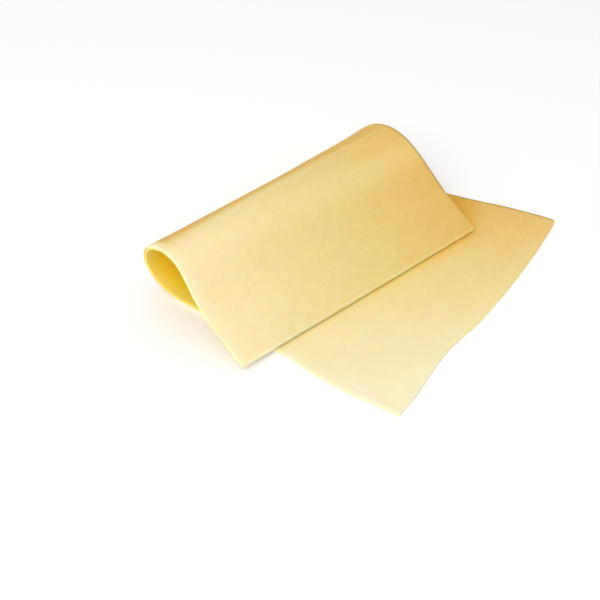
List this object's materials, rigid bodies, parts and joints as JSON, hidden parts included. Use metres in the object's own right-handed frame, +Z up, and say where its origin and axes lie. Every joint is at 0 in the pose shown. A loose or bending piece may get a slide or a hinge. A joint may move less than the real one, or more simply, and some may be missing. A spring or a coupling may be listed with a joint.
{
  "type": "folded cheese slice",
  "caption": "Thin rectangular slice of pale yellow cheese, limp and folded over once, resting on its lower layer with an open loop along the fold.",
  "frame": {"origin": "bottom centre of the bounding box, on the surface that the slice rests on", "axes": "+Y along the fold, from the end where the flap stops further short of the lower layer's free edge to the other end; +Z up; +X across the fold, from the crown towards the free edges"},
  "size_m": [0.0864, 0.1146, 0.0225],
  "materials": {
    "cheese": "satin"
  },
  "bodies": {
    "root": {"cheese_slice": "cheese"}
  },
  "joints": []
}
